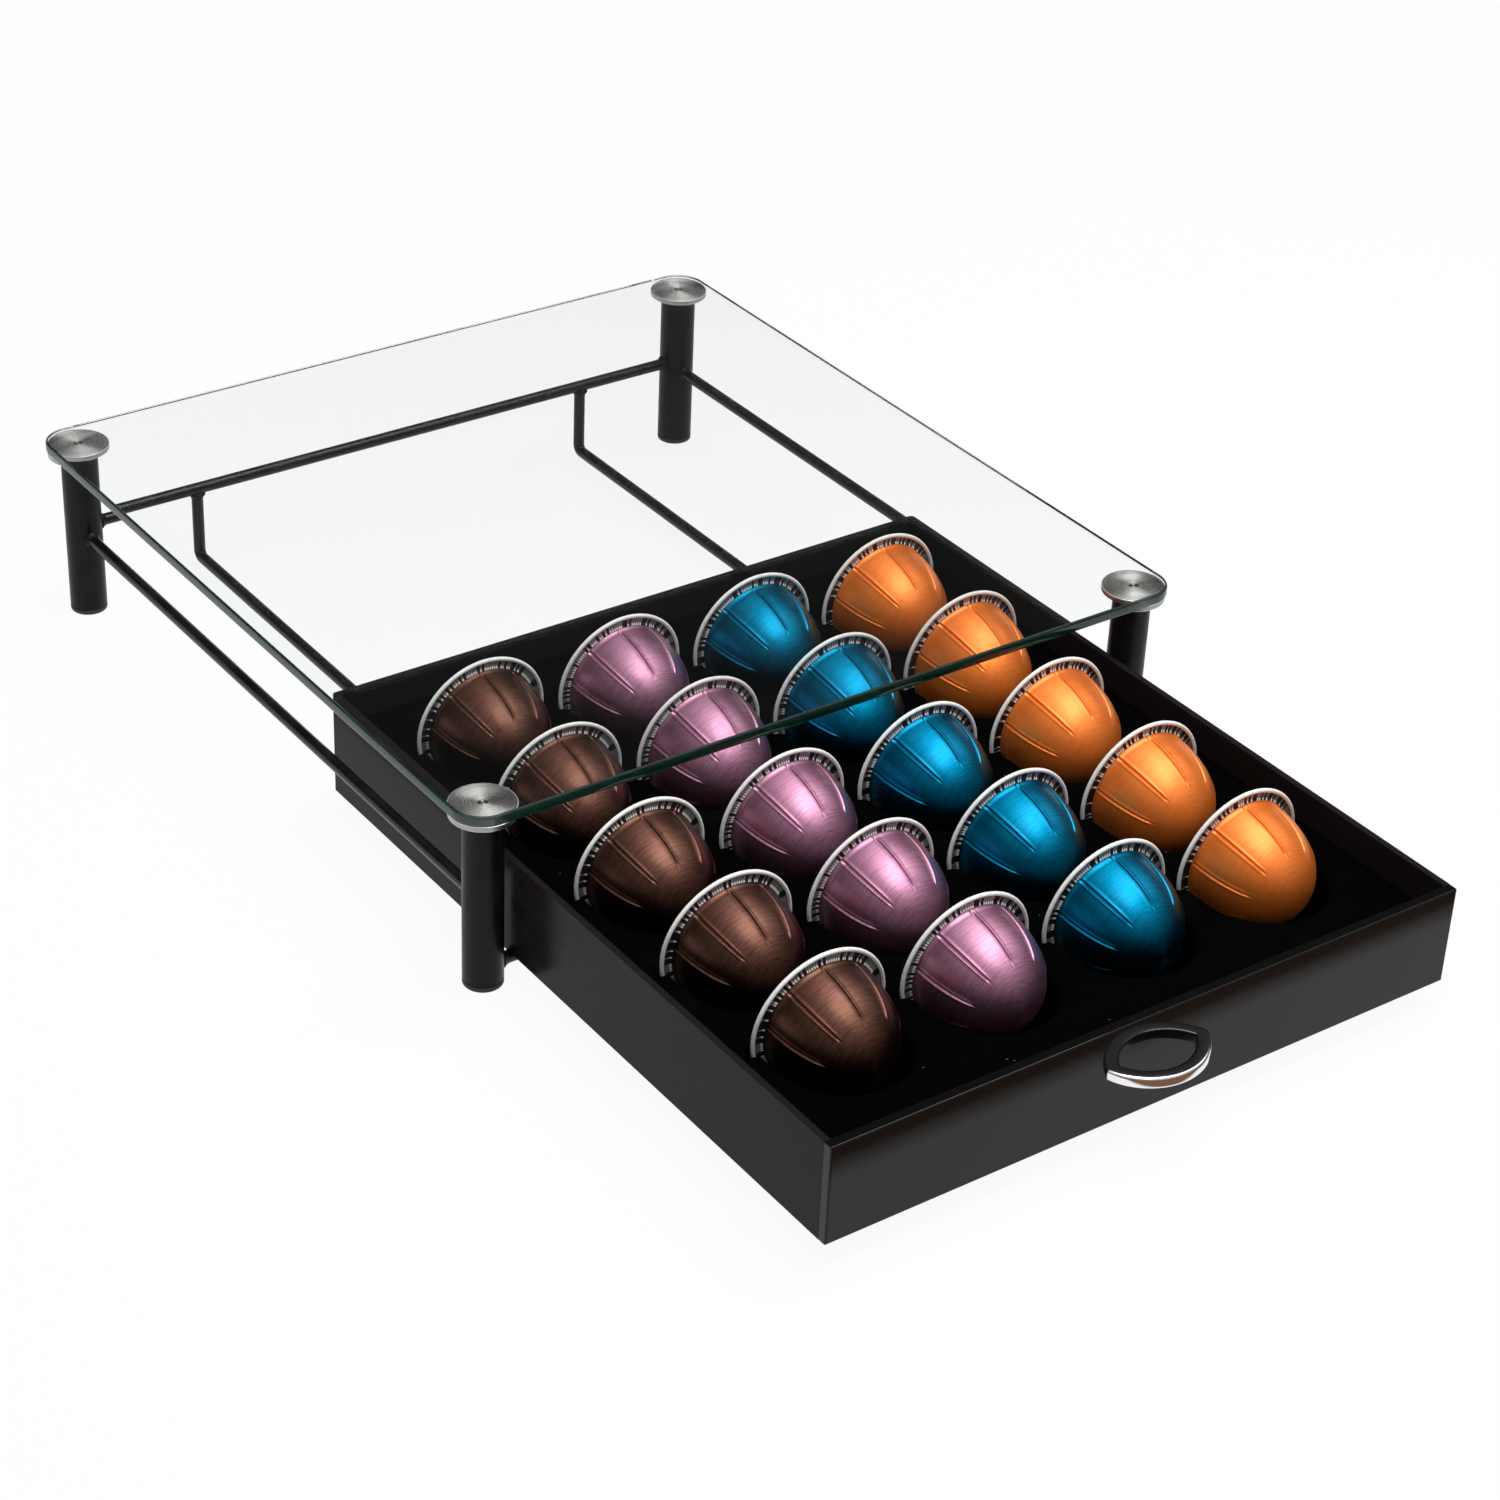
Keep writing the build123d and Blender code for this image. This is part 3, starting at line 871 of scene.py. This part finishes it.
def make_feet():
    """Moulded plugs under the legs: a rounded lip, and a fine gap to the tube."""
    rubber = rubber_material()
    profile = [(0, 0.3), (6.0, 0.3), (6.4, 0.0)]
    profile += arc_points((LEG_R - FOOT_UNDER_R, FOOT_UNDER_R), FOOT_UNDER_R, 270, 360, 5)
    lip = (LEG_R - FOOT_LIP_R, FOOT_HEIGHT - 0.75)
    profile += arc_points(lip, FOOT_LIP_R, 0, 90, 3)
    neck = LEG_R - FOOT_GAP_DEPTH
    profile += [(neck, FOOT_HEIGHT - 0.3), (neck, FOOT_HEIGHT), (0, FOOT_HEIGHT)]
    for name, spot in LEGS.items():
        bm = bmesh.new()
        turned(bm, profile, 48)
        at = Matrix.Translation(Vector((*spot, 0)) * MM)
        made = piece(f"foot_plug_{name}", "stand", bm, (rubber,),
                     (f"foot_{name}",), at)
        made.data.set_sharp_from_angle(angle=radians(40))


def make_welds():
    """Small fillets of weld where each wire's end meets a leg or another wire."""
    coat = weld_material()
    ends = []
    for side, x in (("left", -LEG_X), ("right", LEG_X)):
        inward = 1 if x < 0 else -1
        ends.append((f"weld_back_{side}", (x + inward * LEG_R, BACK_LEG_Y, BACK_RAIL_Z),
                     (inward, 0, 0)))
        ends.append((f"weld_bar_{side}", (x + inward * LEG_R, FRONT_LEG_Y, RUNNER_Z),
                     (inward, 0, 0)))
        ends.append((f"weld_rail_front_{side}", (x, FRONT_LEG_Y + LEG_R, SIDE_RAIL_Z),
                     (0, 1, 0)))
        ends.append((f"weld_rail_back_{side}", (x, BACK_LEG_Y - LEG_R, SIDE_RAIL_Z),
                     (0, -1, 0)))
    for side, x in (("left", -RUNNER_X), ("right", RUNNER_X)):
        ends.append((f"weld_runner_front_{side}", (x, FRONT_LEG_Y + WIRE_R, RUNNER_Z),
                     (0, 1, 0)))
        ends.append((f"weld_runner_back_{side}", (x, BACK_LEG_Y, BACK_RAIL_Z - WIRE_R),
                     (0, 0, -1)))
    bead = [(3.0, -1.2), (3.9, -0.5), (4.0, 0.0), (3.55, 0.45), (3.1, 1.1), (2.85, 2.0),
            (2.7, 2.2)]
    lumps = random.Random(WELD_SEED)
    for name, spot, outward in ends:
        bm = bmesh.new()
        turned(bm, bead, 24)
        for vertex in bm.verts:
            lump = vertex.co.normalized() * lumps.uniform(-WELD_LUMP, WELD_LUMP)
            vertex.co += lump * MM
        turn = Vector(outward).to_track_quat("Z", "Y").to_matrix().to_4x4()
        at = Matrix.Translation(Vector(spot) * MM) @ turn
        piece(name, "stand", bm, (coat,), (), at)


# ================================================================== CAD nodes that show
def finish_nodes():
    """Give each CAD node that shows its finish, and soften the machined edges of the tray and the
    front panel.
    """
    leg = coated_metal_material("coated_leg", (0.004, 0.004, 0.0042), 0.36, 0.35)
    wire = coated_metal_material("coated_wire", (0.004, 0.004, 0.0042), 0.24, 0.4, 0.3)
    finishes = {
        "drawer_tray": drawer_material("satin_black", (0.014, 0.0115, 0.0118), 0.06,
                                       0.14, 0.3),
        "front_panel": drawer_material("gloss_black", (0.0045, 0.004, 0.0042), 0.23,
                                       0.03, 0.1),
    }
    for name in LEGS:
        finishes[f"leg_{name}"] = leg
    for name in ("back_rail", "left_rail", "right_rail", "front_crossbar", "runner_left",
                 "runner_right"):
        finishes[name] = wire
    for name, material in finishes.items():
        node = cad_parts[name]
        node.data.materials.clear()
        node.data.materials.append(material)
    for name, width in BEVELS.items():
        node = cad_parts[name]
        weld = node.modifiers.new("weld", "WELD")
        weld.merge_threshold = 0.002 * MM
        soften = node.modifiers.new("soften", "BEVEL")
        soften.width = width * MM
        soften.segments = 3
        soften.limit_method = "ANGLE"
        soften.angle_limit = radians(30)
        soften.harden_normals = False


# ================================================================== stage, light, camera
def make_stage():
    """A wide pale floor, with a white backdrop round it, and clear from below.

    Glossy rays see a darker table on its front part.  A ray through glass counts as
    glossy too, so from behind, low down, that table also shows through the glass top.
    """
    bpy.ops.mesh.primitive_plane_add(size=40, location=(0, 0, 0))
    floor = bpy.context.object
    floor.name = "floor"
    material = bpy.data.materials.new("pale_floor")
    material.use_nodes = True
    tree = material.node_tree
    tree.nodes.clear()
    path = add(tree, "LightPath").outputs
    seen = sums(tree, "MAXIMUM", sums(tree, "MAXIMUM", path["Is Camera Ray"],
                                      path["Is Transmission Ray"]), path["Is Glossy Ray"])
    cloud = noise(tree, place(tree), 2.0, 2.0)
    tone = mix(tree, cloud, (0.8, 0.8, 0.8), (0.84, 0.84, 0.84))
    matte = add(tree, "BsdfDiffuse", {"Color": tone})
    ahead = add(tree, "SeparateXYZ", {0: place(tree)}).outputs[1]
    off_sheet = spread(tree, ahead, SHEET_FRONT_Y + 0.005, SHEET_FRONT_Y - 0.006)
    mirrored_table = sums(tree, "MULTIPLY", off_sheet, path["Is Glossy Ray"])
    shown = mix(tree, mirrored_table, (1, 1, 1), TABLE_TONE)
    through = spread(tree, path["Is Transmission Ray"], 0.0, 1.0, 1.0, GLASS_GAIN)
    white = add(tree, "Emission", {"Color": shown, "Strength": through})
    share = sums(tree, "MULTIPLY", seen,
                 spread(tree, mirrored_table, 0.0, 1.0, FLOOR_WHITE, 1.0))
    both = add(tree, "MixShader", {0: share, 1: matte.outputs[0], 2: white.outputs[0]})
    under = add(tree, "NewGeometry").outputs["Backfacing"]
    clear = add(tree, "BsdfTransparent")
    one_sided = add(tree, "MixShader", {0: under, 1: both.outputs[0], 2: clear.outputs[0]})
    output = add(tree, "OutputMaterial")
    tree.links.new(one_sided.outputs[0], output.inputs["Surface"])
    floor.data.materials.append(material)


def ramp(tree, value, stops):
    """A grey read off a row of (place, brightness) stops."""
    node = add(tree, "ValToRGB", {0: value})
    band = node.color_ramp
    while len(band.elements) < len(stops):
        band.elements.new(0.5)
    for element, (place_at, grey) in zip(band.elements, stops):
        element.position = place_at
        element.color = (grey, grey, grey, 1)
    return node.outputs[0]


def make_world():
    """The studio round the part: bright overhead, dark above the white backdrop."""
    world = bpy.data.worlds.new("studio")
    bpy.context.scene.world = world
    world.use_nodes = True
    tree = world.node_tree
    tree.nodes.clear()
    split = add(tree, "SeparateXYZ", {0: add(tree, "TexCoord").outputs["Generated"]})
    back, height = split.outputs[1], split.outputs[2]
    behind = spread(tree, back, 0.05, 0.4)
    sky = add(tree, "Mix", {0: behind}, data_type="RGBA")
    tree.links.new(ramp(tree, height, SKY_FRONT), sky.inputs[6])
    tree.links.new(ramp(tree, height, SKY_BACK), sky.inputs[7])

    path = add(tree, "LightPath").outputs
    bounced = sums(tree, "MAXIMUM", path["Glossy Depth"], path["Diffuse Depth"])
    direct = sums(tree, "LESS_THAN", bounced, 0.5)
    looks = sums(tree, "MAXIMUM", path["Is Camera Ray"], path["Is Transmission Ray"])
    seen = sums(tree, "MULTIPLY", direct, looks)
    low = spread(tree, height, BACKDROP_TOP, BACKDROP_TOP - 0.06)
    backdrop = sums(tree, "MULTIPLY", sums(tree, "MULTIPLY", low, behind),
                    path["Is Glossy Ray"])
    white = sums(tree, "MAXIMUM", seen, backdrop)

    air = add(tree, "Background", {"Color": sky.outputs[2], "Strength": SKY_STRENGTH})
    screen = add(tree, "Background", {"Color": (1, 1, 1, 1), "Strength": 1.0})
    both = add(tree, "MixShader", {0: white, 1: air.outputs[0], 2: screen.outputs[0]})
    output = add(tree, "OutputWorld")
    tree.links.new(both.outputs[0], output.inputs["Surface"])


def make_lights(glass):
    """Soft boxes around the part, aimed at its middle, and kept out of the glass."""
    unlit = bpy.data.collections.new("not_lit_by_lamps")
    unlit.objects.link(glass)
    unlit.collection_objects[0].light_linking.link_state = "EXCLUDE"
    for name, (spot, target, width, depth, power) in LAMPS.items():
        light = bpy.data.lights.new(name, "AREA")
        light.shape = "RECTANGLE"
        light.size, light.size_y = width, depth
        light.energy = power
        lamp = bpy.data.objects.new(name, light)
        bpy.context.scene.collection.objects.link(lamp)
        lamp.location = spot
        lamp.light_linking.receiver_collection = unlit
        aim = Vector(target) - Vector(spot)
        lamp.rotation_euler = aim.to_track_quat("-Z", "Y").to_euler()


def make_camera():
    """The photograph's own view."""
    data = bpy.data.cameras.new("photo_view")
    data.sensor_width = 36
    data.lens = CAMERA_LENS
    data.clip_start, data.clip_end = 0.05, 60
    camera = bpy.data.objects.new("photo_view", data)
    bpy.context.scene.collection.objects.link(camera)
    looks = Vector(CAMERA_LOOKS).normalized()
    right = looks.cross(Vector((0, 0, 1))).normalized()
    up = right.cross(looks)
    roll = radians(CAMERA_ROLL)
    rolled_right = right * cos(roll) + up * sin(roll)
    rolled_up = up * cos(roll) - right * sin(roll)
    turn = Matrix((rolled_right, rolled_up, -looks)).transposed().to_4x4()
    camera.matrix_world = Matrix.Translation(Vector(CAMERA_AT) * MM) @ turn
    bpy.context.scene.camera = camera


finish_nodes()
make_insert()
make_pods()
make_handle()
glass_sheet = make_glass()
make_discs()
make_feet()
make_welds()
make_stage()
make_world()
make_lights(glass_sheet)
make_camera()
bpy.context.scene.view_settings.view_transform = "Standard"
